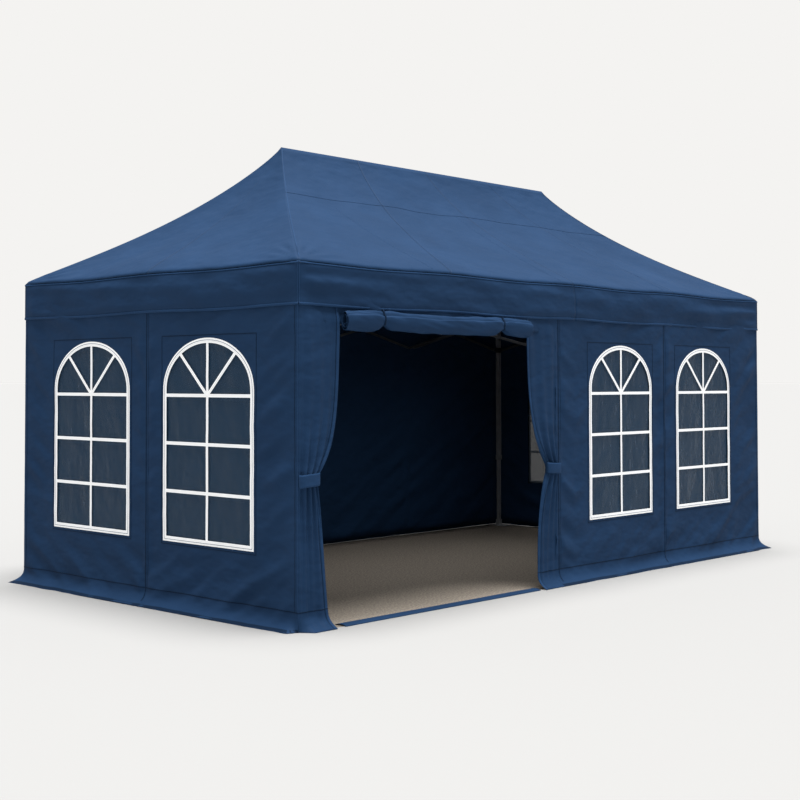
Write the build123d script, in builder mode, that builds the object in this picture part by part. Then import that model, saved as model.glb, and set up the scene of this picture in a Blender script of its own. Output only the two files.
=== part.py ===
from build123d import *
import os
from math import cos, hypot, radians, sin

# Pop-up canopy, 3 x 6 m, six legs, open and standing. Millimetres, +Z up. The origin is on the
# ground in the middle of the footprint, +X runs along the long side, the door side faces -Y.

# ---- driving dimensions --------------------------------------------------------------------------
LEG_SPACING = 2900.0  # between neighbouring legs, the same along X and along Y
WALL_GAP = 50.0  # from a leg's axis to the inner face of the wall fabric
UPPER_PIVOT = 2210.0  # height of the fixed pivots on the legs
TRUSS_DEPTH = 340.0  # from the fixed pivots down to the slider's pivots
PIVOT_REACH = 56.0  # from a leg's axis to its ear's pivot

EAVE = 2290.0
VALANCE_BOTTOM = 2010.0
PEAK = 3320.0
RIDGE_HALF = 1680.0
CLOTH = 2.0  # thickness of every fabric panel

UPPER_TUBE = 40.0  # square tubes: outside width and wall
LOWER_TUBE = 33.0
TUBE_WALL = 1.5
UPPER_BOTTOM = 700.0
LOWER_TOP = 1300.0
BRACKET = 56.0  # outside width of head and slider
BAR_HEIGHT = 22.0
BAR_THICK = 10.0
EAR_THICK = 10.0
PIN_R = 4.0
HOLE_R = 4.3
FOOT_PLATE = 6.0
STAKE_HOLE_R = 5.5
STAKE_INSET = 85.0  # from the leg's axis to the stake hole, inwards along Y

WINDOW_WIDTH = 880.0  # to the middle of the frame's border, as the other window sizes
WINDOW_SILL = 475.0
WINDOW_ROW = 322.0  # from one cross bar to the next
WINDOW_SPRING = 1480.0
WINDOW_TOP = 1805.0
WINDOW_BORDER = 40.0
WINDOW_BAR = 28.0
END_WINDOWS = (-645.0, 645.0)  # centres along an end wall
FRONT_WINDOWS = (655.0, 1962.0)  # centres along the front wall

SEAM_X = -225.0  # where the door panel meets the window panel
DOOR_TOP = 1900.0
DOOR_LEFT = -2590.0
DOOR_RIGHT = -620.0
SKIRT_TOP = 120.0
SKIRT_FLARE = 90.0

# ---- derived sizes ---------------------------------------------------------------------------------
HALF_X = LEG_SPACING + WALL_GAP
HALF_Y = LEG_SPACING / 2 + WALL_GAP
LOWER_PIVOT = UPPER_PIVOT - TRUSS_DEPTH
BAR_RUN = LEG_SPACING / 2 - PIVOT_REACH
LAYER = EAR_THICK / 2 + 0.5 + BAR_THICK / 2  # a bar's middle from the truss plane
BAR_FACE = LAYER + BAR_THICK / 2
PIN_HEAD_R = 7.0
PIN_HEAD = 2.5
BOSS_R = 8.0
STUD_R = 6.0
STUD_END = 40.0

X_AXIS, Y_AXIS, Z_AXIS = Vector(1, 0, 0), Vector(0, 1, 0), Vector(0, 0, 1)
UPRIGHT = (Align.CENTER, Align.CENTER, Align.MIN)

os.makedirs("parts", exist_ok=True)


def save(name, *pieces):
    """Write one node: a single solid, or a group of separate solids."""
    node = pieces[0] if len(pieces) == 1 else Compound(children=list(pieces))
    node.label = name
    export_step(node, f"parts/{name}.step")


def square_tube(x, y, outside, bottom, top):
    with BuildPart() as tube:
        with BuildSketch(Plane((x, y, bottom))):
            Rectangle(outside, outside)
            Rectangle(outside - 2 * TUBE_WALL, outside - 2 * TUBE_WALL, mode=Mode.SUBTRACT)
        extrude(amount=top - bottom)
    return tube.part


def pivot_pin(point, axis, length, head=True):
    """Add a pin to the part being built, from point along axis, with a head at its far end."""
    with Locations(Plane(point, z_dir=axis)):
        Cylinder(PIN_R, length, align=UPRIGHT)
    if head:
        with Locations(Plane(point + axis * (length - PIN_HEAD), z_dir=axis)):
            Cylinder(PIN_HEAD_R, PIN_HEAD, align=UPRIGHT)


def bracket(x, y, height, pivot_z, opening, ears):
    """A square ring round a leg, with one ear for each truss: (direction, side of its bar)."""
    axis_point = Vector(x, y, pivot_z)
    with BuildPart() as ring:
        with BuildSketch(Plane((x, y, pivot_z - height / 2))):
            RectangleRounded(BRACKET, BRACKET, 5)
            Rectangle(opening, opening, mode=Mode.SUBTRACT)
        extrude(amount=height)
        for direction, side in ears:
            pivot = axis_point + direction * PIVOT_REACH
            across = Z_AXIS.cross(direction)
            with BuildSketch(Plane(pivot, x_dir=direction, z_dir=across)):
                Circle(BAR_HEIGHT / 2)
                with Locations((-(PIVOT_REACH - BRACKET / 2) / 2, 0)):
                    Rectangle(PIVOT_REACH - BRACKET / 2, BAR_HEIGHT)
            extrude(amount=EAR_THICK / 2, both=True)
            pivot_pin(pivot, side, BAR_FACE + 0.5 + PIN_HEAD)
    return ring.part


def truss_bar(start, end, side, layer, bosses=(), stud=None, stud_pin=None):
    """One flat bar from start to end, its middle at side * layer from the truss plane.

    bosses are the shares of the length (0.5 or 1) where the bar carries a pin into the bar of the
    other layer. stud is the end of a plain round stud on the bar's last pivot, away from the other
    bar; stud_pin is where its last pin ends, past the other bar, instead of in a head.
    """
    along = (end - start).normalized()
    length = (end - start).length
    other = side * (-1 if layer > 0 else 1)
    middle = side * layer
    with BuildPart() as bar:
        with BuildSketch(Plane(start + middle, x_dir=along, z_dir=side)):
            with Locations((length / 2, 0)):
                SlotCenterToCenter(length, BAR_HEIGHT)
            holes = [share * length for share in (0, 0.5, 1) if share not in bosses]
            with Locations(*[(place, 0) for place in holes]):
                Circle(HOLE_R, mode=Mode.SUBTRACT)
        extrude(amount=BAR_THICK / 2, both=True)
        for share in bosses:
            pivot = start + along * (share * length)
            with BuildSketch(Plane(pivot - other * (LAYER - BAR_THICK / 2), z_dir=other)):
                Circle(BOSS_R)
            extrude(amount=2 * (LAYER - BAR_THICK / 2) - 0.5)
            if share == 1 and stud_pin:
                pivot_pin(pivot, other, stud_pin, head=False)
            else:
                pivot_pin(pivot, other, BAR_FACE + 0.5 + PIN_HEAD)
        if stud:
            with BuildSketch(Plane(end - other * BAR_FACE, z_dir=-other)):
                Circle(STUD_R)
            extrude(amount=stud - BAR_FACE)
    return bar.part


def truss(name, leg_a, leg_b, inner, crossed=None):
    """The four bars of one bay between two legs. crossed is "front" or "back" where a cross truss
    meets the bay's middle."""
    direction = (leg_b - leg_a).normalized()
    up, low = Z_AXIS * UPPER_PIVOT, Z_AXIS * LOWER_PIVOT
    middle = (leg_a + leg_b) * 0.5
    ends_a, ends_b = leg_a + direction * PIVOT_REACH, leg_b - direction * PIVOT_REACH
    stud = STUD_END if crossed else None
    pin = {"front": 30.0, "back": STUD_END}.get(crossed)
    save(f"{name}_bar_1", truss_bar(ends_a + up, middle + low, inner, LAYER, (0.5, 1), stud))
    save(f"{name}_bar_2", truss_bar(ends_a + low, middle + up, inner, -LAYER, (1,), stud_pin=pin))
    save(f"{name}_bar_3", truss_bar(ends_b + up, middle + low, inner, -LAYER, (0.5,)))
    save(f"{name}_bar_4", truss_bar(ends_b + low, middle + up, inner, LAYER))


# ---- legs, sliders and feet ----------------------------------------------------------------------
LEGS = {
    f"{row}_{place}": Vector(column * LEG_SPACING, side * LEG_SPACING / 2, 0)
    for row, side in (("front", -1), ("back", 1))
    for place, column in (("left", -1), ("middle", 0), ("right", 1))
}
# Each leg's ears: where the truss runs, the upper bar's side of the ear.
EARS = {
    "front_left": ((X_AXIS, -Y_AXIS), (Y_AXIS, X_AXIS)),
    "front_middle": ((X_AXIS, Y_AXIS), (-X_AXIS, Y_AXIS)),
    "front_right": ((-X_AXIS, -Y_AXIS), (Y_AXIS, -X_AXIS)),
    "back_left": ((-Y_AXIS, -X_AXIS), (X_AXIS, -Y_AXIS)),
    "back_middle": ((X_AXIS, Y_AXIS), (-X_AXIS, Y_AXIS)),
    "back_right": ((-Y_AXIS, X_AXIS), (-X_AXIS, -Y_AXIS)),
}

for name, leg in LEGS.items():
    x, y = leg.X, leg.Y
    inward = -1 if y > 0 else 1
    tube = square_tube(x, y, UPPER_TUBE, UPPER_BOTTOM, UPPER_PIVOT + 30)
    head = bracket(x, y, 60, UPPER_PIVOT, UPPER_TUBE, EARS[name])
    with BuildPart() as cap:
        with BuildSketch(Plane((x, y, UPPER_PIVOT + 30))):
            RectangleRounded(BRACKET, BRACKET, 5)
        extrude(amount=22)
        fillet(cap.faces().sort_by(Axis.Z)[-1].edges(), 6)
    with BuildPart() as lock:
        with BuildSketch(Plane((x, y, UPPER_BOTTOM))):
            RectangleRounded(50, 50, 5)
            Rectangle(UPPER_TUBE, UPPER_TUBE, mode=Mode.SUBTRACT)
        extrude(amount=48)
        with BuildSketch(Plane((x, y + inward * 25, UPPER_BOTTOM + 24), z_dir=(0, inward, 0))):
            Circle(9)
        extrude(amount=8)
    save(f"upper_leg_{name}", tube, head, cap.part, lock.part)

    sliding_ears = [(direction, side * -1) for direction, side in EARS[name]]
    save(f"slider_{name}", bracket(x, y, 50, LOWER_PIVOT, UPPER_TUBE + 1, sliding_ears))

    shaft = square_tube(x, y, LOWER_TUBE, FOOT_PLATE, LOWER_TOP)
    with BuildPart() as foot:
        with BuildSketch(Plane((x, y + inward * 35, 0))):
            RectangleRounded(80, 150, 8)
            with Locations((0, inward * (STAKE_INSET - 35))):
                Circle(STAKE_HOLE_R, mode=Mode.SUBTRACT)
        extrude(amount=FOOT_PLATE)
    with BuildPart() as socket:
        with BuildSketch(Plane((x, y, FOOT_PLATE))):
            RectangleRounded(48, 48, 4)
            Rectangle(LOWER_TUBE, LOWER_TUBE, mode=Mode.SUBTRACT)
        extrude(amount=60)
    save(f"lower_leg_{name}", shaft, foot.part, socket.part)

# ---- scissor trusses -----------------------------------------------------------------------------
truss("front_right_truss", LEGS["front_middle"], LEGS["front_right"], Y_AXIS, "front")
truss("front_left_truss", LEGS["front_middle"], LEGS["front_left"], Y_AXIS, "front")
truss("right_end_truss", LEGS["front_right"], LEGS["back_right"], -X_AXIS)
truss("left_end_truss", LEGS["front_left"], LEGS["back_left"], X_AXIS)
truss("back_right_truss", LEGS["back_right"], LEGS["back_middle"], -Y_AXIS, "back")
truss("back_left_truss", LEGS["back_left"], LEGS["back_middle"], -Y_AXIS, "back")

POST_R = 14.0
POST_OFFSET = 46.0  # the post stands beside the bars
POST_TOP = 3280.0
POST_CAP_R = 26.0

for side_name, x in (("left", -LEG_SPACING / 2), ("right", LEG_SPACING / 2)):
    front = Vector(x, -LEG_SPACING / 2, UPPER_PIVOT)
    with BuildPart() as stud:
        with BuildSketch(Plane(front + Y_AXIS * (BAR_FACE + 0.7), z_dir=Y_AXIS)):
            Rectangle(18, BAR_HEIGHT)
            Circle(HOLE_R, mode=Mode.SUBTRACT)
        extrude(amount=17)
        with BuildSketch(Plane(front + Y_AXIS * (BAR_FACE + 17.7), z_dir=Y_AXIS)):
            Rectangle(18, BAR_HEIGHT)
        extrude(amount=44 - BAR_FACE - 17.7)
        with BuildSketch(Plane(front + Y_AXIS * PIVOT_REACH, x_dir=Y_AXIS, z_dir=X_AXIS)):
            Circle(BAR_HEIGHT / 2)
            with Locations((-6, 0)):
                Rectangle(12, BAR_HEIGHT)
        extrude(amount=EAR_THICK / 2, both=True)
        pivot_pin(front + Y_AXIS * PIVOT_REACH, X_AXIS, BAR_FACE + 0.5 + PIN_HEAD)
    save(f"cross_stud_{side_name}", stud.part)

    high = {key: Vector(x, y, UPPER_PIVOT) for key, y in (("f", -BAR_RUN), ("c", 0), ("b", BAR_RUN))}
    low = {key: Vector(x, y, LOWER_PIVOT) for key, y in (("f", -BAR_RUN), ("c", 0), ("b", BAR_RUN))}
    name = f"cross_{side_name}"
    save(f"{name}_bar_1", truss_bar(high["f"], low["c"], X_AXIS, LAYER, (0.5, 1), POST_OFFSET + POST_R))
    save(f"{name}_bar_2", truss_bar(low["f"], high["c"], X_AXIS, -LAYER, (1,)))
    save(f"{name}_bar_3", truss_bar(high["b"], low["c"], X_AXIS, -LAYER, (0.5,)))
    save(f"{name}_bar_4", truss_bar(low["b"], high["c"], X_AXIS, LAYER))

    post_x = x + POST_OFFSET
    with BuildPart() as post:
        with BuildSketch(Plane((post_x, 0, LOWER_PIVOT - 22))):
            Rectangle(2 * POST_R, 2 * POST_R)
        extrude(amount=44)
        with BuildSketch(Plane((post_x, 0, LOWER_PIVOT + 22))):
            Circle(POST_R)
        extrude(amount=POST_TOP - LOWER_PIVOT - 42)
        with BuildSketch(Plane((post_x, 0, LOWER_PIVOT), z_dir=X_AXIS)):
            Circle(STUD_R + 0.3)
        extrude(amount=POST_R, both=True, mode=Mode.SUBTRACT)
        with BuildSketch(Plane((post_x, 0, POST_TOP - 20))):
            Circle(POST_CAP_R)
        extrude(amount=20)
        fillet(post.faces().sort_by(Axis.Z)[-1].edges(), 9)
    save(f"king_post_{side_name}", post.part)

# ---- fabric --------------------------------------------------------------------------------------
WALLS = {
    "front": Plane((0, -HALF_Y, 0), x_dir=X_AXIS, z_dir=-Y_AXIS),
    "back": Plane((0, HALF_Y, 0), x_dir=-X_AXIS, z_dir=Y_AXIS),
    "left": Plane((-HALF_X, 0, 0), x_dir=-Y_AXIS, z_dir=-X_AXIS),
    "right": Plane((HALF_X, 0, 0), x_dir=Y_AXIS, z_dir=X_AXIS),
}
WALL_TOP = 2200.0
EAVE_OUT = 8.0  # the roof's edge and its valance hang this far outside the walls' planes
ROOF_GAP = 4.0  # between neighbouring roof panels


def along_wall(plane, place, out=0.0):
    """The wall's plane with its origin moved along the wall and outwards."""
    origin = plane.origin + plane.x_dir * place + plane.z_dir * out
    return Plane(origin, x_dir=plane.x_dir, z_dir=plane.z_dir)


def window_arch(grow):
    """A window's arched face, larger all round by grow."""
    half, sill = WINDOW_WIDTH / 2 + grow, WINDOW_SILL - grow
    rise = WINDOW_TOP + grow - WINDOW_SPRING
    with BuildSketch() as arch:
        with BuildLine():
            Polyline((-half, WINDOW_SPRING), (-half, sill), (half, sill), (half, WINDOW_SPRING))
            EllipticalCenterArc((0, WINDOW_SPRING), half, rise, 0, arc_size=180)
        make_face()
    return arch.sketch


def panel(plane, *outline, windows=()):
    """A flat panel with its window openings, its inner face on the plane."""
    with BuildPart() as sheet:
        with BuildSketch(plane):
            with BuildLine():
                Polyline(*outline, close=True)
            make_face()
        extrude(amount=CLOTH)
        for place in windows:
            with BuildSketch(along_wall(plane, place)):
                add(window_arch(0))
            extrude(amount=CLOTH, mode=Mode.SUBTRACT)
    return sheet.part


def oblong(left, bottom, right, top):
    return (left, bottom), (right, bottom), (right, top), (left, top)


def skirt(plane, start, end):
    """The flared strip along a wall's foot, from start to end along the wall."""
    top = SKIRT_TOP - 1
    section = Plane(
        plane.origin + plane.x_dir * ((start + end) / 2), x_dir=plane.z_dir, z_dir=-plane.x_dir
    )
    with BuildPart() as strip:
        with BuildSketch(section):
            with BuildLine():
                foot = ((SKIRT_FLARE + CLOTH, 0), (SKIRT_FLARE, 0))
                Polyline((0, top), (CLOTH, top), *foot, close=True)
            make_face()
        extrude(amount=(end - start) / 2, both=True)
    return strip.part


def window_pane(plane, place):
    with BuildPart() as pane:
        with BuildSketch(along_wall(plane, place, -0.5)):
            add(window_arch(WINDOW_BORDER / 2))
        extrude(amount=-1.5)
    return pane.part


def window_frame(plane, place):
    """The border and bars on a window's outer face."""
    fan_foot = WINDOW_SILL + 3 * WINDOW_ROW
    fan = 400.0  # length of a slanted bar
    with BuildPart() as frame:
        with BuildSketch(along_wall(plane, place, CLOTH + 0.2)):
            add(window_arch(WINDOW_BORDER / 2))
            add(window_arch(-WINDOW_BORDER / 2), mode=Mode.SUBTRACT)
            with Locations((0, (WINDOW_SILL + WINDOW_TOP) / 2)):
                Rectangle(WINDOW_BAR, WINDOW_TOP - WINDOW_SILL)
            with Locations(*[(0, WINDOW_SILL + row * WINDOW_ROW) for row in (1, 2, 3)]):
                Rectangle(WINDOW_WIDTH, WINDOW_BAR)
            for turn in (-45, 45):
                lean = radians(turn)
                middle = (sin(lean) * fan / 2, fan_foot + cos(lean) * fan / 2)
                with Locations(middle):
                    Rectangle(WINDOW_BAR, fan, rotation=-turn)
        extrude(amount=CLOTH)
    return frame.part


def roof_slope(plane, eave_half, eave_out, ridge_out, ridge_half):
    """One roof panel, from its eave up to the ridge or peak."""
    run, rise = eave_out - ridge_out, PEAK - EAVE
    slope = hypot(run, rise)
    uphill = (plane.z_dir * -run + Z_AXIS * rise) * (1 / slope)
    eave_middle = plane.z_dir * eave_out + Z_AXIS * EAVE
    with BuildPart() as slab:
        with BuildSketch(Plane(eave_middle, x_dir=plane.x_dir, z_dir=plane.x_dir.cross(uphill))):
            with BuildLine():
                low, high = eave_half - ROOF_GAP, ridge_half + ROOF_GAP / 2
                top = slope - ROOF_GAP
                Polyline((-low, 0), (low, 0), (high, top), (-high, top), close=True)
            make_face()
        extrude(amount=-CLOTH)
    return slab.part


out_x, out_y = HALF_X + EAVE_OUT, HALF_Y + EAVE_OUT
roof = []
for side_name, plane in WALLS.items():
    long_side = side_name in ("front", "back")
    half, out, ridge_out = (out_x, out_y, 0) if long_side else (out_y, out_x, RIDGE_HALF)
    ridge_half = RIDGE_HALF - ROOF_GAP if long_side else 0
    roof.append(roof_slope(plane, half, out, ridge_out, ridge_half))
    valance = oblong(-half + ROOF_GAP, VALANCE_BOTTOM, half - ROOF_GAP, EAVE - 3)
    roof.append(panel(along_wall(plane, 0, EAVE_OUT - CLOTH), *valance))
save("roof_canopy", *roof)

CURTAIN_FULL = 36.0  # a gathered curtain's depth, from its pleats
TIE_HEIGHT = 925.0
ROLL_DEEP, ROLL_HIGH = 88.0, 160.0
SILL_WIDE, SILL_HIGH = 100.0, 14.0
SHEET_X, SHEET_Y = 2925.0, 1335.0  # the ground sheet's half sizes, clear of the feet
SHEET_EDGE = 1465.0  # and between the feet
FOOT_CLEAR = 60.0


def curtain(hang, tie, foot, edge):
    """A door curtain pulled aside: how far its free edge is at the top, at the tie and below."""
    with BuildPart() as cloth:
        with BuildSketch(along_wall(WALLS["front"], 0, 1)):
            with BuildLine():
                top = DOOR_TOP - 1
                pulled = ((hang, top), (tie, TIE_HEIGHT), (foot, SKIRT_TOP))
                Polyline((edge, top), *pulled, (edge, SKIRT_TOP), close=True)
            make_face()
        extrude(amount=CURTAIN_FULL)
    return cloth.part


front = WALLS["front"]
with BuildPart() as door_roll:
    roll_y = -HALF_Y - CLOTH - ROLL_DEEP / 2 - 1
    with BuildSketch(Plane((DOOR_LEFT, roll_y, DOOR_TOP + 40), x_dir=Y_AXIS, z_dir=X_AXIS)):
        Ellipse(ROLL_DEEP / 2, ROLL_HIGH / 2)
    extrude(amount=DOOR_RIGHT - DOOR_LEFT)
with BuildPart() as door_sill:
    with BuildSketch():
        with Locations(((DOOR_LEFT + DOOR_RIGHT) / 2, -HALF_Y - 20)):
            Rectangle(DOOR_RIGHT - DOOR_LEFT + 30, SILL_WIDE)
    extrude(amount=SILL_HIGH)
save(
    "front_wall",
    panel(front, *oblong(-HALF_X, DOOR_TOP, SEAM_X - 1, WALL_TOP)),
    curtain(DOOR_LEFT, -2795, -2680, -HALF_X),
    skirt(front, -HALF_X, -2630),
    curtain(DOOR_RIGHT, -375, -490, SEAM_X - 1),
    skirt(front, -490, SEAM_X - 1),
    door_roll.part,
    door_sill.part,
    panel(front, *oblong(SEAM_X, SKIRT_TOP, HALF_X, WALL_TOP), windows=FRONT_WINDOWS),
    skirt(front, SEAM_X, HALF_X),
)
ends = (WALLS["left"], WALLS["right"])
end_panel = oblong(-HALF_Y, SKIRT_TOP, HALF_Y, WALL_TOP)
save(
    "side_walls",
    panel(WALLS["back"], *oblong(-HALF_X, SKIRT_TOP, HALF_X, WALL_TOP)),
    skirt(WALLS["back"], -HALF_X, HALF_X),
    *[panel(plane, *end_panel, windows=END_WINDOWS) for plane in ends],
    *[skirt(plane, -HALF_Y, HALF_Y) for plane in ends],
)
with BuildPart() as ground_sheet:
    bay = LEG_SPACING - 2 * FOOT_CLEAR
    with BuildSketch():
        Rectangle(2 * SHEET_X, 2 * SHEET_Y)
        with Locations(*[(side * LEG_SPACING / 2, 0) for side in (-1, 1)]):
            Rectangle(bay, 2 * SHEET_EDGE)
    extrude(amount=CLOTH)
save("ground_sheet", ground_sheet.part)

places = [(plane, place) for plane in ends for place in END_WINDOWS]
places += [(front, place) for place in FRONT_WINDOWS]
save("window_panes", *[window_pane(*place) for place in places])
save("window_frames", *[window_frame(*place) for place in places])
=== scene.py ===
import math

import bpy
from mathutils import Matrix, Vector, noise


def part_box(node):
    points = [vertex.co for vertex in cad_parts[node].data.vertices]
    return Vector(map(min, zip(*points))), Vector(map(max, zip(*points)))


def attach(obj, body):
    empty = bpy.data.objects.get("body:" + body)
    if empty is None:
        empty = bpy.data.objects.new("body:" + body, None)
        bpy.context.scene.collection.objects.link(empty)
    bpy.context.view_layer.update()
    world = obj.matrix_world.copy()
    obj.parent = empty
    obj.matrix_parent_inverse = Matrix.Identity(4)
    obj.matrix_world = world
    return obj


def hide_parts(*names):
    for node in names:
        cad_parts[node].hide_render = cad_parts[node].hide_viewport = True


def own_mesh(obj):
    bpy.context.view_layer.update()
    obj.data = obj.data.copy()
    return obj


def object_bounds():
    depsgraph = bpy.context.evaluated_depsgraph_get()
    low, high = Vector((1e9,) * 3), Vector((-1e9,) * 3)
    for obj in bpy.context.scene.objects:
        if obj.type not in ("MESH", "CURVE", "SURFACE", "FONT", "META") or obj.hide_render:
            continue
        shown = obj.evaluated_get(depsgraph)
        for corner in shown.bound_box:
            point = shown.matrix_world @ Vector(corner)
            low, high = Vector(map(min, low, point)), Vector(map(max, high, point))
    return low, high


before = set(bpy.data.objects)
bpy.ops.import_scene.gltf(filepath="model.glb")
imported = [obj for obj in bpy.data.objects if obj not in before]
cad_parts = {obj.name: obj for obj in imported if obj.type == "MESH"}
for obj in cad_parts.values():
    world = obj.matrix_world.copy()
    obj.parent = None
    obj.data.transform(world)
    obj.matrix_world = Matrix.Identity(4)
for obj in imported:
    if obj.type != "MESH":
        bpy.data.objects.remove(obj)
CAD_LOW, CAD_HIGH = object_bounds()

# ---- sizes from the frame, in metres ---------------------------------------------------------------------
ROOF_LOW, ROOF_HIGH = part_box("roof_canopy")
PANE_LOW, PANE_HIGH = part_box("window_panes")
EAVE_X, EAVE_Y = ROOF_HIGH.x, ROOF_HIGH.y
VALANCE_LOW = ROOF_LOW.z
EAVE = VALANCE_LOW + 0.28
PEAK = ROOF_HIGH.z
RIDGE = 1.68  # half the ridge's length
WALL_X, WALL_Y = PANE_HIGH.x + 0.0005, -PANE_LOW.y + 0.0005
WALL_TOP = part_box("side_walls")[1].z
FLARE = CAD_HIGH.y - WALL_Y - 0.004  # how far the skirt's foot stands out
SKIRT_TOP = 0.12
SEAM_X = -0.225
SILL, ROW, SPRING, ARCH_TOP, WINDOW_HALF = 0.475, 0.322, 1.48, 1.805, 0.44
WINDOW_AREA = 2 * WINDOW_HALF * (SPRING - SILL) + math.pi / 2 * WINDOW_HALF * (ARCH_TOP - SPRING)
WINDOWS = {"left": (-0.645, 0.645), "right": (-0.645, 0.645), "back": (), "front": (0.655, 1.962)}
SEAMS = {"left": (0,), "right": (0,), "back": (-1.475, 0, 1.475), "front": (-0.213, 1.308)}
DOOR_LEFT, DOOR_RIGHT, DOOR_TOP = -2.59, -0.62, 1.90
CLOTH = 0.0012

Z = Vector((0, 0, 1))


# ---- camera and light ------------------------------------------------------------------------------------
def make_camera():
    data = bpy.data.cameras.new("camera")
    camera = bpy.data.objects.new("camera", data)
    bpy.context.collection.objects.link(camera)
    data.lens, data.sensor_width = 61.2, 36
    data.shift_x, data.shift_y = 0.075, -0.0775
    camera.location = (-8.767, -7.500, 1.530)
    camera.rotation_euler = (math.radians(90 + 1.855), 0, math.radians(-45.865))
    bpy.context.scene.camera = camera


def soft_sun(direction, power, spread, colour):
    data = bpy.data.lights.new("overhead_softbox", "SUN")
    data.energy, data.angle, data.color = power, math.radians(spread), colour
    light = bpy.data.objects.new("overhead_softbox", data)
    bpy.context.collection.objects.link(light)
    light.rotation_euler = Vector(direction).to_track_quat("Z", "Y").to_euler()


def make_stage():
    scene = bpy.context.scene
    scene.view_settings.view_transform = "Standard"
    world = bpy.data.worlds.new("studio")
    scene.world = world
    world.use_nodes = True
    nodes, links = world.node_tree.nodes, world.node_tree.links
    nodes.clear()
    output = nodes.new("ShaderNodeOutputWorld")
    mix = nodes.new("ShaderNodeMixShader")
    path = nodes.new("ShaderNodeLightPath")
    ambient, backdrop = nodes.new("ShaderNodeBackground"), nodes.new("ShaderNodeBackground")
    ambient.inputs["Color"].default_value = (0.97, 0.985, 1.0, 1)
    ambient.inputs["Strength"].default_value = 0.5
    backdrop.inputs["Color"].default_value = (0.905, 0.896, 0.88, 1)
    links.new(path.outputs["Is Camera Ray"], mix.inputs[0])
    links.new(ambient.outputs[0], mix.inputs[1])
    links.new(backdrop.outputs[0], mix.inputs[2])
    links.new(mix.outputs[0], output.inputs[0])
    soft_sun((0.03, -0.07, 1), 7.2, 40, (1.0, 0.99, 0.975))
    data = bpy.data.lights.new("inner_fill", "AREA")
    data.shape, data.size, data.size_y, data.energy = "RECTANGLE", 4.0, 1.8, 15.0
    data.spread = math.radians(120)
    inner = bpy.data.objects.new("inner_fill", data)
    bpy.context.collection.objects.link(inner)
    inner.location = (0.0, 0.0, 2.15)

    floor = bpy.data.meshes.new("floor")
    reach, sides = 900.0, 96
    ring = [2 * math.pi * i / sides for i in range(sides)]
    floor.from_pydata([(reach * math.cos(a), reach * math.sin(a), 0) for a in ring], [], [range(sides)])
    ground = bpy.data.objects.new("floor", floor)
    bpy.context.collection.objects.link(ground)
    paint, shader = new_material("floor_paint", (0.322, 0.321, 0.319), 0.9)
    shader.inputs["Specular IOR Level"].default_value = 0.0
    floor.materials.append(paint)


# ---- materials -------------------------------------------------------------------------------------------
def new_material(name, colour, roughness, metallic=0.0):
    material = bpy.data.materials.new(name)
    material.use_nodes = True
    shader = material.node_tree.nodes["Principled BSDF"]
    shader.inputs["Base Color"].default_value = (*colour, 1)
    shader.inputs["Roughness"].default_value = roughness
    shader.inputs["Metallic"].default_value = metallic
    return material, shader


def texture(material, kind, scale, stretch=(1, 1, 1), detail=4.0, turn=(0, 0, 0)):
    """A noise or wave texture in the row frame's metres."""
    nodes, links = material.node_tree.nodes, material.node_tree.links
    place = nodes.new("ShaderNodeTexCoord")
    mapping = nodes.new("ShaderNodeMapping")
    mapping.inputs["Scale"].default_value = stretch
    mapping.inputs["Rotation"].default_value = turn
    links.new(place.outputs["Object"], mapping.inputs["Vector"])
    node = nodes.new(kind)
    node.inputs["Scale"].default_value = scale
    if "Detail" in node.inputs:
        node.inputs["Detail"].default_value = detail
    links.new(mapping.outputs[0], node.inputs["Vector"])
    return node


def add_bump(material, shader, heights, distance, strength=1.0):
    """Chain the heights into one bump. heights are (output, strength) pairs."""
    nodes, links = material.node_tree.nodes, material.node_tree.links
    before = None
    for output, share in heights:
        bump = nodes.new("ShaderNodeBump")
        bump.inputs["Distance"].default_value = distance
        bump.inputs["Strength"].default_value = strength * share
        links.new(output, bump.inputs["Height"])
        if before:
            links.new(before.outputs[0], bump.inputs["Normal"])
        before = bump
    links.new(before.outputs[0], shader.inputs["Normal"])


def vary_colour(material, shader, colour, spread, scale, detail=5.0):
    """Let the colour wander a little round its mean."""
    nodes, links = material.node_tree.nodes, material.node_tree.links
    patches = texture(material, "ShaderNodeTexNoise", scale, detail=detail)
    ramp = nodes.new("ShaderNodeValToRGB")
    ramp.color_ramp.elements[0].position, ramp.color_ramp.elements[1].position = 0.3, 0.7
    for element, factor in zip(ramp.color_ramp.elements, (1 - spread, 1 + spread)):
        element.color = (*[min(1, c * factor) for c in colour], 1)
    links.new(patches.outputs[0], ramp.inputs[0])
    links.new(ramp.outputs[0], shader.inputs["Base Color"])


def cloth_material(name, colour, spread=0.08):
    material, shader = new_material(name, colour, 0.62)
    shader.inputs["Specular IOR Level"].default_value = 0.05
    vary_colour(material, shader, colour, spread, 2.3)
    warp = texture(material, "ShaderNodeTexWave", 420, (1, 1, 0.02), 0.5)
    weft = texture(material, "ShaderNodeTexWave", 420, (0.02, 0.02, 1), 0.5)
    weft.bands_direction = "Z"
    slubs = texture(material, "ShaderNodeTexNoise", 260)
    creases = texture(material, "ShaderNodeTexNoise", 4, (1, 1, 2.0), 2.0, (0.7, 0.7, 0))
    heights = [
        (creases.outputs[0], 1.0), (slubs.outputs[0], 0.03),
        (warp.outputs[1], 0.012), (weft.outputs[1], 0.012),
    ]
    add_bump(material, shader, heights, 0.035, 0.5)
    return material


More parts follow.
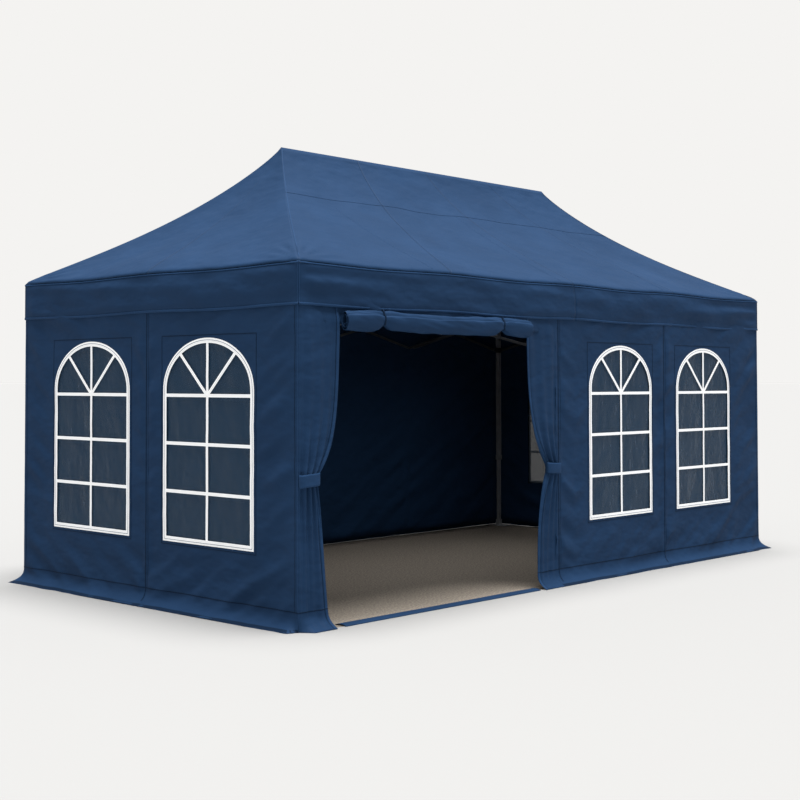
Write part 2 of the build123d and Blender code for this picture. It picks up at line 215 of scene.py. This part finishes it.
def pane_material():
    material, shader = new_material("clear_film", (0.019, 0.048, 0.092), 0.3)
    shader.inputs["Alpha"].default_value = 0.75
    shader.inputs["Specular IOR Level"].default_value = 0.16
    ripples = texture(material, "ShaderNodeTexNoise", 4.5, (1, 1, 0.5), 3.0, (0.7, 0.7, 0))
    fine = texture(material, "ShaderNodeTexNoise", 16, (1, 1, 0.5), 2.0, (0.5, 0.9, 0))
    add_bump(material, shader, [(ripples.outputs[0], 1.0), (fine.outputs[0], 0.3)], 0.035, 0.7)
    return material


def trim_material():
    material, shader = new_material("white_tape_painted_glow", (0.93, 0.94, 0.95), 0.6)
    vary_colour(material, shader, (0.93, 0.94, 0.95), 0.02, 30)
    # A faint white emission: a painted glow that makes the window tape brighter than its lighting alone
    # would.
    shader.inputs["Emission Color"].default_value = (1, 1, 1, 1)
    shader.inputs["Emission Strength"].default_value = 0.15
    ribs = texture(material, "ShaderNodeTexNoise", 320)
    add_bump(material, shader, [(ribs.outputs[0], 0.3)], 0.0005)
    return material


def mat_material():
    material, shader = new_material("floor_weave", (0.225, 0.197, 0.165), 0.95)
    shader.inputs["Specular IOR Level"].default_value = 0.1
    vary_colour(material, shader, (0.225, 0.197, 0.165), 0.42, 75, 8.0)
    loops = texture(material, "ShaderNodeTexNoise", 110)
    add_bump(material, shader, [(loops.outputs[0], 0.8)], 0.003)
    return material


def metal_material(name, colour, roughness, metallic, grain=90, spread=0.12):
    material, shader = new_material(name, colour, roughness, metallic)
    vary_colour(material, shader, colour, spread, 12)
    pits = texture(material, "ShaderNodeTexNoise", grain)
    add_bump(material, shader, [(pits.outputs[0], 0.35)], 0.001)
    return material


make_camera()
make_stage()

NAVY = (0.0133, 0.038, 0.092)
navy = cloth_material("navy_cloth", NAVY)
navy_seam = cloth_material("navy_seam", tuple(c * 0.45 for c in NAVY))
# NAVY lightened by a quarter: a lit copy of the cloth, painted highlight along the roof's hips and seams, the
# valances' eave, hem and corners and the walls' corner welts; the curtains' hems and ties are in it too.
navy_highlight_band = cloth_material("navy_highlight_band", tuple(c * 1.25 for c in NAVY))
film = pane_material()
weave = mat_material()
tape = trim_material()
grey = metal_material("grey_stitch", (0.30, 0.33, 0.38), 0.7, 0.0)
METALS = {
    "upper_leg": metal_material("grey_coat", (0.36, 0.37, 0.39), 0.42, 0.3, 160),
    "lower_leg": metal_material("zinc", (0.50, 0.51, 0.53), 0.4, 0.5, 60, 0.12),
    "slider": metal_material("black_nylon", (0.022, 0.022, 0.024), 0.55, 0.0, 220),
    "cross_stud": metal_material("black_nylon_stud", (0.022, 0.022, 0.024), 0.55, 0.0, 220),
    "king_post": metal_material("post_coat", (0.13, 0.135, 0.145), 0.4, 0.4, 160),
}
# The bars' coat colour is darkened as painted shade, so the bars sink into the dark under the roof.
shaded_bar_metal = metal_material("bar_coat_darkened_for_shade", (0.075, 0.08, 0.09), 0.45, 0.3, 120)
for name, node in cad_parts.items():
    kinds = [kind for kind in METALS if name.startswith(kind)]
    if kinds or "bar" in name:
        material = METALS[kinds[0]] if kinds else shaded_bar_metal
        node.data.materials.clear()
        node.data.materials.append(material)


# ---- mesh helpers ----------------------------------------------------------------------------------------
def new_piece(name, points, faces, material, thickness=CLOTH, smooth=True):
    mesh = bpy.data.meshes.new(name)
    mesh.from_pydata(points, [], faces)
    mesh.materials.append(material)
    if smooth:
        mesh.shade_smooth()
    piece = bpy.data.objects.new(name, mesh)
    bpy.context.collection.objects.link(piece)
    if thickness:
        solid = piece.modifiers.new("thickness", "SOLIDIFY")
        solid.thickness, solid.offset = thickness, 0
    return piece


def grid(columns, rows, point):
    """Points and faces of a grid sheet, from point(u, v) with u and v from 0 to 1."""
    points = [point(i / columns, j / rows) for j in range(rows + 1) for i in range(columns + 1)]
    faces = [
        (k, k + 1, k + columns + 2, k + columns + 1)
        for j in range(rows)
        for k in range(j * (columns + 1), j * (columns + 1) + columns)
    ]
    return points, faces


def ripple(a, b, seed, amount):
    """Smooth noise from -amount to amount."""
    return amount * noise.noise(Vector((a, b, seed)))


def ramp(value, start, end):
    """0 before start, 1 after end, smooth between."""
    t = min(1, max(0, (value - start) / (end - start)))
    return t * t * (3 - 2 * t)


# ---- roof ------------------------------------------------------------------------------------------------
SAG = 0.118  # share of the rise by which a slope hangs below a straight line


def rise_share(t):
    """Height share at t, from the ridge (0) to the eave (1)."""
    hang = t**0.75 * (1 - t) ** 1.25 / 0.2654 if 0 < t < 1 else 0
    return 1 - t - SAG * hang


def eave_waves(side):
    return 4 if side in ("front", "back") else 2


def corner_folds(along, down, spread):
    """Small folds that fan out over a slope from its eave corner."""
    reach = math.hypot(along, down)
    turn = math.atan2(down, along) / spread
    if reach > 0.9 or not 0 < turn < 1:
        return 0
    strength = math.exp(-(((reach - 0.22) / 0.2) ** 2)) * min(1, 2.2 * math.sin(math.pi * turn))
    return 0.0065 * strength * math.sin(turn * 7.4 * math.pi + 1.2 * reach)


def roof_point(side, u, t, lift=0.0):
    """A point of one slope. u runs along the eave, t from the ridge down to the eave."""
    long_side = side in ("front", "back")
    swing = math.sin(eave_waves(side) * math.pi * u) ** 2
    edge = min(1, 8 * u * (1 - u)) * min(1, 6 * t * (1 - t))
    z = EAVE + (PEAK - EAVE) * rise_share(t) - 0.010 * swing * t**3 - 0.010 * swing * math.sin(math.pi * t)
    z -= 0.012 * ramp(t, 0.985, 1.0)
    width = 2 * (EAVE_X if long_side else EAVE_Y)
    run = EAVE_Y if long_side else EAVE_X - RIDGE
    across = min(u, 1 - u) * (width * t + (2 * RIDGE * (1 - t) if long_side else 0))
    inset = (EAVE_X - RIDGE if long_side else EAVE_Y) * (1 - t)
    z += corner_folds(across + inset, (1 - t) * run, math.atan2(run, width / 2 - (RIDGE if long_side else 0)))
    if long_side:
        x = (RIDGE + t * (EAVE_X - RIDGE)) * (2 * u - 1)
        y = t * EAVE_Y
        point = Vector((x, -y, z)) if side == "front" else Vector((-x, y, z))
    else:
        x = RIDGE + t * (EAVE_X - RIDGE)
        y = t * EAVE_Y * (2 * u - 1)
        point = Vector((x, y, z)) if side == "right" else Vector((-x, -y, z))
    z_noise = ripple(point.x * 1.1, point.y * 1.6, 3.1, 0.014)
    z_noise += ripple(point.x * 4, point.y * 2.2, 8.2, 0.006)
    point.z += z_noise * edge + lift
    return point


OUTWARD = {
    "front": Vector((0, -1, 0)), "back": Vector((0, 1, 0)),
    "left": Vector((-1, 0, 0)), "right": Vector((1, 0, 0)),
}
ALONG = {
    "front": Vector((1, 0, 0)), "back": Vector((-1, 0, 0)),
    "left": Vector((0, -1, 0)), "right": Vector((0, 1, 0)),
}
# The bars that the stretches of each slope fold down with, in the order of u.
SLOPE_BARS = {
    "front": ("front_left_truss_bar_3", "front_left_truss_bar_2",
              "front_right_truss_bar_2", "front_right_truss_bar_3"),
    "back": ("back_right_truss_bar_1", "back_right_truss_bar_4",
             "back_left_truss_bar_4", "back_left_truss_bar_1"),
    "left": ("left_end_truss_bar_3", "left_end_truss_bar_1"),
    "right": ("right_end_truss_bar_1", "right_end_truss_bar_3"),
}
SLOPE_PARTS = {
    side: [(k / len(bars), (k + 1) / len(bars), bar) for k, bar in enumerate(bars)]
    for side, bars in SLOPE_BARS.items()
}


def fold_slope(piece, body):
    """Give a stretch of roof its own mesh and hang it on its scissor bar, so it swings down with the bar."""
    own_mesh(piece)
    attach(piece, body)


def make_roof():
    sheets = []
    for side, parts in SLOPE_PARTS.items():
        for i, (start, end, bar) in enumerate(parts):
            share = end - start
            points, faces = grid(60, 76, lambda u, v: roof_point(side, start + u * share, 1 - v))
            piece = new_piece(f"roof_{side}_{i + 1}", points, faces, navy)
            fold_slope(piece, bar)
            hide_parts("roof_canopy")
            sheets.append(piece)
    return sheets


def roof_tape(name, side, path, width, body, material=None):
    """A seam tape on a slope, along path, a list of (u, t)."""
    points, faces = [], []
    for k, (u, t) in enumerate(path):
        here = roof_point(side, u, t, 0.0012)
        u2, t2 = path[min(k + 1, len(path) - 1)]
        u1, t1 = path[max(k - 1, 0)]
        way = (roof_point(side, u2, t2) - roof_point(side, u1, t1)).normalized()
        across = way.cross(Z).normalized() * width / 2
        points += [here - across, here + across]
        if k:
            n = 2 * k
            faces.append((n - 2, n - 1, n + 1, n))
    piece = new_piece(name, points, faces, material or navy, 0.0006)
    fold_slope(piece, body)
    return piece


def make_roof_seams():
    steps = 60
    line = [k / steps for k in range(steps + 1)]
    ridge_seam = 0.30
    for side in ("front", "back"):
        parts = SLOPE_PARTS[side]
        for i, (start, end, bar) in enumerate(parts):
            path = [(start + (end - start) * k, ridge_seam) for k in line]
            roof_tape(f"roof_{side}_ridge_seam_{i + 1}", side, path, 0.005, bar, navy_highlight_band)
        for number, x in enumerate((-1.65, -0.15, 1.35)):
            way = x if side == "front" else -x
            path = []
            for k in line:
                t = ridge_seam + (0.98 - ridge_seam) * k
                path.append((0.5 + way / (2 * (RIDGE + t * (EAVE_X - RIDGE))), t))
            bar = [body for start, end, body in parts if start <= path[-1][0] <= end][0]
            roof_tape(f"roof_{side}_seam_{number + 1}", side, path, 0.005, bar, navy_highlight_band)
        # The hip tapes are in the lightened navy: a painted highlight along each hip.
        for number, (u, bar) in enumerate(((0.0016, parts[0][2]), (0.9984, parts[-1][2]))):
            path = [(u, 0.01 + 0.985 * k) for k in line]
            roof_tape(f"roof_{side}_hip_{number + 1}", side, path, 0.008, bar, navy_highlight_band)


# ---- valances --------------------------------------------------------------------------------------------
def valance_point(side, a, v, out=0.0):
    """a runs along the wall from its middle, v from the eave (0) to the hem (1)."""
    long_side = side in ("front", "back")
    half = EAVE_X if long_side else EAVE_Y
    u = min(1, max(0, (a + half) / (2 * half)))
    swing = math.sin(eave_waves(side) * math.pi * u) ** 2
    top = EAVE - 0.012 - 0.010 * swing
    hem = VALANCE_LOW - 0.004 - 0.010 * swing
    z = top + (hem - top) * v
    turned = -0.008 * (1 - ramp(v, 0, 0.07))
    belly = 0.010 * math.sin(math.pi * v)
    inner = min(1, (half - abs(a)) * 9)
    near = math.exp(-((half - abs(a)) / 0.8))
    sags = ripple(a * 0.9 + z * 2, z * 13, 4.4, 0.009 + 0.008 * near) + ripple(a * 2.5, z * 7 + a, 9.4, 0.008)
    bow = turned + belly + 1.7 * sags * ramp(v, 0, 0.25) * (1 - 0.6 * ramp(v, 0.8, 1))
    bow = max(-0.006, min(bow, 0.030)) * inner
    base = EAVE_Y if long_side else EAVE_X
    return OUTWARD[side] * (base + bow + out) + ALONG[side] * a + Z * z


def wall_body(side):
    legs = {"front": "front_middle", "back": "back_middle", "left": "front_left", "right": "front_right"}
    return f"{legs[side]}_leg"


def fold_wall(piece, side):
    """Give a wall's piece its own mesh and hang it on its leg, so it moves with the leg as the frame folds.
    """
    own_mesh(piece)
    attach(piece, wall_body(side))


def make_valances():
    for side in OUTWARD:
        long_side = side in ("front", "back")
        half = EAVE_X if long_side else EAVE_Y
        parts = ((-half, 0), (0, half)) if long_side else ((-half, half),)
        for number, (start, end) in enumerate(parts):
            length = end - start
            across = round(length / 0.025)
            points, faces = grid(across, 14, lambda u, v: valance_point(side, start + u * length, v))
            piece = new_piece(f"valance_{side}_{number + 1}", points, faces, navy)
            fold_wall(piece, side)
            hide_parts("roof_canopy")
            # The eave and hem strips are in the lightened navy: a painted highlight along the valance's eave
            # edge and its hem.
            for label, low, high in (("hem", 0.935, 1.0), ("eave", 0.012, 0.05)):
                points, faces = grid(
                    round(length / 0.03), 2,
                    lambda u, v: valance_point(side, start + u * length, low + (high - low) * v, 0.0040),
                )
                strip = new_piece(f"valance_{label}_{side}_{number + 1}", points, faces, navy_highlight_band, 0.0012)
                fold_wall(strip, side)
        # Thin strips in the lightened navy at each end: a painted highlight along the valance's corners.
        for number, a in enumerate((0.006 - half, half - 0.006)):
            points, faces = grid(1, 24, lambda u, v: valance_point(side, a + 0.008 * (u - 0.5), v, 0.002))
            strip = new_piece(f"valance_corner_{side}_{number + 1}", points, faces, navy_highlight_band, 0.001)
            fold_wall(strip, side)


# ---- walls -----------------------------------------------------------------------------------------------
def wall_bow(side, a, z):
    """How far the wall's cloth stands out of its plane."""
    long_side = side in ("front", "back")
    half = WALL_X if long_side else WALL_Y
    seed = {"front": 1.3, "back": 5.2, "left": 9.7, "right": 14.1}[side]
    edge = min(1, (half - abs(a)) * 6)
    from_seam = min(abs(a - b) for b in SEAMS[side])
    near = math.exp(-(half - abs(a)) / 0.4) + 0.5 * math.exp(-((from_seam / 0.16) ** 2))
    calm = 1
    for window in WINDOWS[side]:
        out = max(abs(a - window) - WINDOW_HALF, SILL - z, z - ARCH_TOP)
        calm = min(calm, 0.12 + 0.88 * ramp(out, 0.02, 0.2))
    lean = 1 if a > 0 else -1
    warp = ripple(a * 1.5, z * 1.5, seed + 9, 0.5)
    folds = ripple(a * 1.3 + z * 0.8, z * 1.1 - a * 0.4, seed, 0.012)
    folds += ripple(z * 6.5 - a * lean * 3.4 + warp, a * 1.6 + z * 0.9, seed + 3, 0.014 + 0.026 * near)
    folds += ripple(z * 14 - a * lean * 9 + warp, a * 3.2 + z * 2, seed + 6, 0.006 + 0.009 * near)
    straight = ramp(min(abs(a - b) for b in SEAMS[side]), 0, 0.07)
    bow = 0.004 + folds * calm * ramp(WALL_TOP - z, -0.1, 0.4) * edge * straight
    if z < SKIRT_TOP:
        down = 1 - z / SKIRT_TOP
        wave = ripple(a * 3, 0.3, seed + 8, 0.014) * min(1, (half + FLARE - abs(a)) * 5)
        open_edge = ramp(half - a, -0.012, 0.10) if side == "left" else 1
        bow += FLARE * down**3 * open_edge + wave * down
        bow = min(bow, FLARE)
    return max(bow, -0.008)


def wall_point(side, a, z, out=0.0):
    long_side = side in ("front", "back")
    base, half = (WALL_Y, WALL_X) if long_side else (WALL_X, WALL_Y)
    bow = wall_bow(side, a, z)
    corner = 1 + max(0, bow - 0.004) / half if z < SKIRT_TOP and abs(a) > half - 0.3 else 1
    if corner > 1:
        corner = 1 + (corner - 1) * ramp(abs(a), half - 0.3, half)
    return OUTWARD[side] * (base + bow + out) + ALONG[side] * (a * corner) + Z * z


def arch_distance(a, z, grow=0.0):
    """How far a point is outside a window's outline, and the way to its nearest point."""
    half, sill = WINDOW_HALF + grow, SILL - grow
    if z > SPRING:
        reach = math.hypot(a, z - SPRING)
        share = math.hypot(a / half, (z - SPRING) / (ARCH_TOP + grow - SPRING))
        return reach * (1 - 1 / share), (a / reach, (z - SPRING) / reach)
    side, bottom = abs(a) - half, sill - z
    if side > bottom:
        return side, (math.copysign(1, a), 0)
    return bottom, (0, -1)


SKIRT_LEVELS = (0.0012, 0.005, 0.012, 0.018, 0.026, 0.036, 0.05, 0.07, 0.095, SKIRT_TOP)


def wall_sheet(name, side, start, end, bottom, top, windows=(), step=0.02):
    levels = list(SKIRT_LEVELS) if bottom < SKIRT_TOP else [bottom]
    rows = round((top - levels[-1]) / step)
    levels += [levels[-1] + (top - levels[-1]) * (k + 1) / rows for k in range(rows)]
    columns, rows = round((end - start) / step), len(levels) - 1
    places, faces = grid(columns, rows, lambda u, v: (start + u * (end - start), levels[round(v * rows)]))
    inside = set()
    for window in windows:
        for k, (a, z) in enumerate(places):
            if abs(a - window) > WINDOW_HALF + 0.1 or z < SILL - 0.1:
                continue
            distance, way = arch_distance(a - window, z)
            if abs(distance) < step * 0.7:
                places[k] = (a - way[0] * distance, z - way[1] * distance)
                inside.add(k)
            elif distance < 0:
                inside.add(k)
    faces = [face for face in faces if not all(k in inside for k in face)]
    points = [wall_point(side, a, z) for a, z in places]
    used = sorted({k for face in faces for k in face})
    number = {k: n for n, k in enumerate(used)}
    piece = new_piece(name, [points[k] for k in used], [[number[k] for k in f] for f in faces], navy)
    area = (end - start) * (top - bottom)
    area -= WINDOW_AREA * len(windows)
    fold_wall(piece, side)
    return piece


def wall_strip(
    name, side, path, width, material, out=0.0022, thickness=0.0012, closed=False
):
    """A flat strip on a wall, along path, a list of (a, z), mitred at its turns."""
    count = len(path)
    points, faces = [], []
    for k, (a, z) in enumerate(path):
        before = path[k - 1] if k or closed else path[k]
        after = path[(k + 1) % count] if k + 1 < count or closed else path[k]
        steps = [Vector((after[0] - a, after[1] - z)), Vector((a - before[0], z - before[1]))]
        ways = [step.normalized() for step in steps if step.length > 1e-9]
        way = sum(ways, Vector((0, 0))).normalized()
        mitre = 1 / max(0.5, way.dot(ways[0]))
        across = Vector((-way.y, way.x)) * width / 2 * mitre
        points += [
            wall_point(side, a + across.x, z + across.y, out),
            wall_point(side, a - across.x, z - across.y, out),
        ]
    last = count if closed else count - 1
    for k in range(last):
        n, m = 2 * k, 2 * ((k + 1) % count)
        faces.append((n, m, m + 1, n + 1))
    piece = new_piece(name, points, faces, material, thickness, smooth=False)
    fold_wall(piece, side)
    return piece


def line(start, end, step=0.03):
    count = max(2, round(math.dist(start, end) / step))
    return [tuple(s + (e - s) * k / count for s, e in zip(start, end)) for k in range(count + 1)]


def arch_path(window, grow):
    """A window's outline, from the sill's left end round and back, without repeating a point."""
    half, sill = WINDOW_HALF + grow, SILL - grow
    rise = ARCH_TOP + grow - SPRING
    path = line((window - half, sill), (window + half, sill))[:-1]
    path += line((window + half, sill), (window + half, SPRING))[:-1]
    arc = [math.pi * k / 48 for k in range(49)]
    path += [(window + half * math.cos(a), SPRING + rise * math.sin(a)) for a in arc]
    path += line((window - half, SPRING), (window - half, sill))[1:-1]
    return path


def make_window(side, number, window):
    name = f"{side}_window_{number + 1}"
    rows, columns, margin = 60, 26, 0.012
    low, high = SILL - margin, ARCH_TOP + margin

    def pane_point(u, v):
        z = low + (high - low) * v
        half = WINDOW_HALF + margin
        if z > SPRING:
            half *= math.sqrt(max(1e-5, 1 - ((z - SPRING) / (high - SPRING)) ** 2))
        a = window + half * (2 * u - 1)
        crease = ripple(a * 4 + z * 3, z * 2 - a * 3, 21.0 + number, 0.005)
        crease += ripple(a * 11 + z * 8, z * 5 - a * 7, 25.0 + number, 0.0016)
        return wall_point(side, a, z, -0.008 + crease)

    points, faces = grid(columns, rows, pane_point)
    pane = new_piece(f"{name}_pane", points, faces, film, 0.0006)
    fold_wall(pane, side)
    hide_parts("window_panes")

    border = wall_strip(
        f"{name}_border", side, arch_path(window, 0), 0.034, tape, 0.0026, 0.0014, True
    )
    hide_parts("window_frames")
    groove = arch_path(window, 0.003)
    wall_strip(f"{name}_groove", side, groove, 0.004, grey, 0.0038, 0.0006, True)
    fan_foot, tip = SILL + 3 * ROW, 0.286
    bars = [((window, SILL), (window, ARCH_TOP))]
    heights = [SILL + ROW * k for k in (1, 2, 3)]
    bars += [((window - WINDOW_HALF, z), (window + WINDOW_HALF, z)) for z in heights]
    bars += [((window, fan_foot), (window + lean * tip, fan_foot + tip)) for lean in (-1, 1)]
    for k, (start, end) in enumerate(bars):
        out = 0.0012 + 0.0003 * k
        wall_strip(f"{name}_bar_{k + 1}", side, line(start, end), 0.022, tape, out, 0.0012)
    half, bottom, top = WINDOW_HALF + 0.036, SILL - 0.036, ARCH_TOP + 0.036
    corners = [(window - half, bottom), (window + half, bottom), (window + half, top), (window - half, top)]
    stitched = []
    for k in range(4):
        stitched += line(corners[k], corners[(k + 1) % 4])[:-1]
    wall_strip(f"{name}_stitching", side, stitched, 0.005, navy_seam, 0.0014, 0.0008, closed=True)


def make_walls():
    end_x, end_y = WALL_X + 0.004, WALL_Y + 0.004
    spans = {
        "left": (-end_y, end_y), "right": (-end_y, end_y),
        "back": (-end_x, end_x), "front": (SEAM_X - 0.03, end_x),
    }
    for side, (start, end) in spans.items():
        wall = wall_sheet(f"wall_{side}", side, start, end, 0.0012, WALL_TOP, WINDOWS[side])
        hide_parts("front_wall" if side == "front" else "side_walls")
        level = line((start, SKIRT_TOP), (end, SKIRT_TOP))
        wall_strip(f"skirt_seam_{side}", side, level, 0.006, navy_seam, 0.0014)
        wall_strip(f"skirt_hem_{side}", side, line((start, 0.0105), (end, 0.0105)), 0.013, navy_seam, 0.0016)
        for number, a in enumerate(SEAMS[side]):
            upright = line((a, 0.03), (a, WALL_TOP))
            wall_strip(f"panel_seam_{side}_{number + 1}", side, upright, 0.007, navy_seam, 0.0018)
            stitch = line((a + 0.022, SKIRT_TOP), (a + 0.022, WALL_TOP))
            wall_strip(f"panel_stitch_{side}_{number + 1}", side, stitch, 0.003, navy_seam, 0.0014, 0.0006)
        # The corner welts are in the lightened navy: a painted highlight along the wall's corner edges.
        for number, a in enumerate((start + 0.005, end - 0.005)):
            welt = line((a, SKIRT_TOP), (a, WALL_TOP))
            wall_strip(f"corner_welt_{side}_{number + 1}", side, welt, 0.008, navy_highlight_band, 0.0008, 0.0006)
        for number, a in enumerate((start + 0.03, end - 0.03)):
            stitch = line((a, SKIRT_TOP), (a, WALL_TOP))
            wall_strip(f"edge_stitch_{side}_{number + 1}", side, stitch, 0.004, navy_seam, 0.0014, 0.0006)
        for number, window in enumerate(WINDOWS[side]):
            make_window(side, number, window)
    header = wall_sheet("door_header", "front", -WALL_X - 0.004, SEAM_X, DOOR_TOP, WALL_TOP)
    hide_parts("front_wall")


# ---- doorway ---------------------------------------------------------------------------------------------
# A door curtain's width at the top, in its tie and at the foot, the tie's height, and how quickly the cloth
# spreads again over and under the tie.
CURTAINS = {
    "left": {"top": 0.360, "waist": 0.150, "foot": 0.310, "tie": 0.925, "over": 0.20, "under": 0.80},
    "right": {"top": 0.400, "waist": 0.155, "foot": 0.275, "tie": 0.885, "over": 0.30, "under": 0.27},
}
TIE_HALF = 0.040  # half the tie band's height, over which the cloth is held straight


def curtain_width(cut, z):
    """A tied curtain's width at a height: it spreads from the tie towards its top and its foot."""
    away = abs(z - cut["tie"])
    full, reach = (cut["top"], cut["over"]) if z > cut["tie"] else (cut["foot"], cut["under"])
    spread = 1 - math.exp(-(max(0, away - TIE_HALF / 2) / reach))
    return cut["waist"] + (full - cut["waist"]) * spread


def make_curtain(which, wall_edge, sign, pleats, seed):
    """A curtain sewn on along wall_edge, whose free edge lies on the sign side of it."""
    name, cut = f"door_curtain_{which}", CURTAINS[which]
    tie_z = cut["tie"]
    top = 2.10

    def cloth(a_share, z, out=0.0):
        a = wall_edge + sign * curtain_width(cut, z) * a_share
        over, under = max(0, z - tie_z) / 0.26, max(0, tie_z - z) / 0.34
        gather = math.exp(-(over**1.6)) * math.exp(-(under**1.4))
        phase = pleats * 2 * math.pi * a_share + ripple(z * 1.1, a_share * 1.5, seed, 1.0)
        wave = math.cos(phase) * (0.0025 + 0.0125 * gather) * ramp(a_share, 0, 0.10)
        side_fold = 0.006 * math.cos(2.2 * math.pi * a_share + 2.4 * z) * (1 - gather) * ramp(a_share, 0, 0.2)
        belly = 0.016 * math.sin(math.pi * a_share) ** 0.7 * (0.35 + 0.65 * gather)
        bow = 0.006 + wave + side_fold + belly + ripple(a * 3 + z * 2, z * 1.5, seed + 1, 0.006)
        flush = wall_bow("front", a, max(z, SKIRT_TOP)) + (0.0016 if which == "right" else 0)
        free = ramp(a_share, 0, 0.09) * (1 - ramp(z, 1.90, 2.00))
        bow = flush + (max(0.003, min(bow, 0.040)) - flush) * free
        if z < SKIRT_TOP:
            down = 1 - z / SKIRT_TOP
            edge_flare = ramp(a + WALL_X, -0.012, 0.09) if which == "left" else 1
            bow = min(bow + FLARE * down**3 * edge_flare, FLARE)
        return Vector((a, -WALL_Y - bow - out, z))

    levels = list(SKIRT_LEVELS)
    rows = 100
    levels += [SKIRT_TOP + (top - SKIRT_TOP) * (k + 1) / rows for k in range(rows)]
    count = len(levels) - 1
    points, faces = grid(90, count, lambda u, v: cloth(u, levels[round(v * count)]))
    piece = new_piece(name, points, faces, navy)
    fold_wall(piece, "front")
    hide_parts("front_wall")

    for label, near, far, material in (("hem", 0.024, 0.0, navy_highlight_band), ("stitch", 0.028, 0.024, navy_seam)):
        def edging(u, v):
            z = levels[round(v * count)]
            return cloth(1 - (near + (far - near) * u) / curtain_width(cut, z), z, 0.0014)
        points, faces = grid(2, count, edging)
        fold_wall(new_piece(f"{name}_{label}", points, faces, material, 0.0008), "front")
    points, faces = grid(90, 1, lambda u, v: cloth(u, SKIRT_TOP + 0.006 * (v - 0.5), 0.0016))
    fold_wall(new_piece(f"{name}_skirt_seam", points, faces, navy_seam, 0.0008), "front")

    # The tie: a flat band sewn on at the wall's edge and drawn round the gathered cloth.
    middle, half = wall_edge + sign * (cut["waist"] / 2 + 0.004), cut["waist"] / 2 + 0.006

    def band(u, v):
        angle = 2 * math.pi * u
        lean = 0.006 * sign * math.cos(angle)
        puff = 0.0015 * math.cos(math.pi * (v - 0.5)) + ripple(6 * math.cos(angle), v * 2 + seed, 3.0, 0.001)
        a = middle + (half + puff) * math.copysign(abs(math.cos(angle)) ** 0.7, math.cos(angle))
        depth = (0.022 + puff) * math.copysign(abs(math.sin(angle)) ** 0.6, math.sin(angle))
        return Vector((a, -WALL_Y - 0.0235 - depth, tie_z + TIE_HALF * (2 * v - 1) + lean))

    points, faces = grid(72, 8, band)
    fold_wall(new_piece(f"{name}_tie", points, faces, navy_highlight_band, 0.0022), "front")


def make_roll():
    """The door's middle flap, rolled up under the valance and tied with two thin cords."""
    ties = (-2.225, -0.955)
    deep, high = 0.037, 0.068
    axis_y, axis_z = -WALL_Y - 0.005 - deep, 1.930
    turns = 2.4

    def close_to(x, width):
        return sum(math.exp(-(((x - tie) / width) ** 2)) for tie in ties)

    def ring(x, angle, share, out=0.0):
        pinch = close_to(x, 0.045)
        bottom = 0.5 - 0.5 * math.sin(angle)
        swell = 1 + ripple(x * 2.5, angle * 0.6, 31, 0.16) + ripple(x * 8 + angle * 2, angle * 1.5, 37, 0.12)
        swell += 0.09 * math.cos(5 * angle + x * 9) * close_to(x, 0.16)
        tall = high * (1 - 0.42 * pinch * bottom - 0.12 * pinch) * swell * share + out
        thick = deep * (1 - 0.34 * pinch) * min(swell, 1.04) * share + out
        end = min(1, (x - DOOR_LEFT) / 0.03, (DOOR_RIGHT - x) / 0.03)
        sag = 0.008 * (1 - close_to(x, 0.3))
        rise = tall * math.sin(angle) * (0.9 + 0.1 * end)
        return Vector((x, axis_y - thick * math.cos(angle), axis_z - sag + rise))

    def flap(u, v):
        x = DOOR_LEFT + 0.006 + u * (DOOR_RIGHT - DOOR_LEFT - 0.012)
        return ring(x, v * turns * 2 * math.pi - 2.0, 0.42 + 0.58 * min(1, v * 1.15))

    points, faces = grid(200, 110, flap)
    roll = new_piece("door_roll", points, faces, navy)
    fold_wall(roll, "front")
    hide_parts("front_wall")
    for number, tie in enumerate(ties):
        points, faces = grid(48, 4, lambda u, v: ring(tie + 0.012 * (v - 0.5), 2 * math.pi * u, 1, 0.002))
        fold_wall(new_piece(f"roll_tie_{number + 1}", points, faces, navy_seam, 0.0016), "front")


def make_floor():
    left, right = DOOR_LEFT - 0.010, DOOR_RIGHT + 0.085

    def hump(u, v):
        x = left + u * (right - left)
        lift = 0.0105 * math.sin(math.pi * v) ** 0.6 + ripple(x * 3, v, 41, 0.0015) * math.sin(math.pi * v)
        return Vector((x, -WALL_Y - 0.069 + 0.098 * v, 0.0015 + max(0, lift)))

    side_x, side_y, edge_y, foot = 2.995, 1.335, 1.545, 0.06
    leg = WALL_X - 0.05
    stops = [-side_x, foot - leg, -foot, foot, leg - foot, side_x]
    columns = [stops[0]]
    for start, end in zip(stops, stops[1:]):
        count = max(2, round((end - start) / 0.06))
        columns += [start + (end - start) * (k + 1) / count for k in range(count)]
    rows = [-edge_y] + [-side_y + 2 * side_y * k / 44 for k in range(45)] + [edge_y]
    points = [Vector((x, y, 0.0008)) for y in rows for x in columns]
    wide = len(columns)
    faces = []
    for j in range(len(rows) - 1):
        for i in range(wide - 1):
            x = abs(columns[i] + columns[i + 1]) / 2
            at_foot = x < foot or x > leg - foot
            if at_foot and j in (0, len(rows) - 2):
                continue
            k = j * wide + i
            faces.append((k, k + 1, k + wide + 1, k + wide))
    used = sorted({k for face in faces for k in face})
    number = {k: n for n, k in enumerate(used)}
    corners = [[number[k] for k in face] for face in faces]
    sheet = new_piece("floor_sheet", [points[k] for k in used], corners, weave, 0.001)
    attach(sheet, "front_middle_leg")
    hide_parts("ground_sheet")

    points, faces = grid(120, 12, hump)
    sill = new_piece("door_sill", points, faces, navy)
    fold_wall(sill, "front")
    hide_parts("front_wall")


make_roof()
make_roof_seams()
make_valances()
make_walls()
make_curtain("left", -WALL_X - 0.004, 1, 4.0, 51)
make_curtain("right", SEAM_X, -1, 3.5, 57)
make_roll()
make_floor()
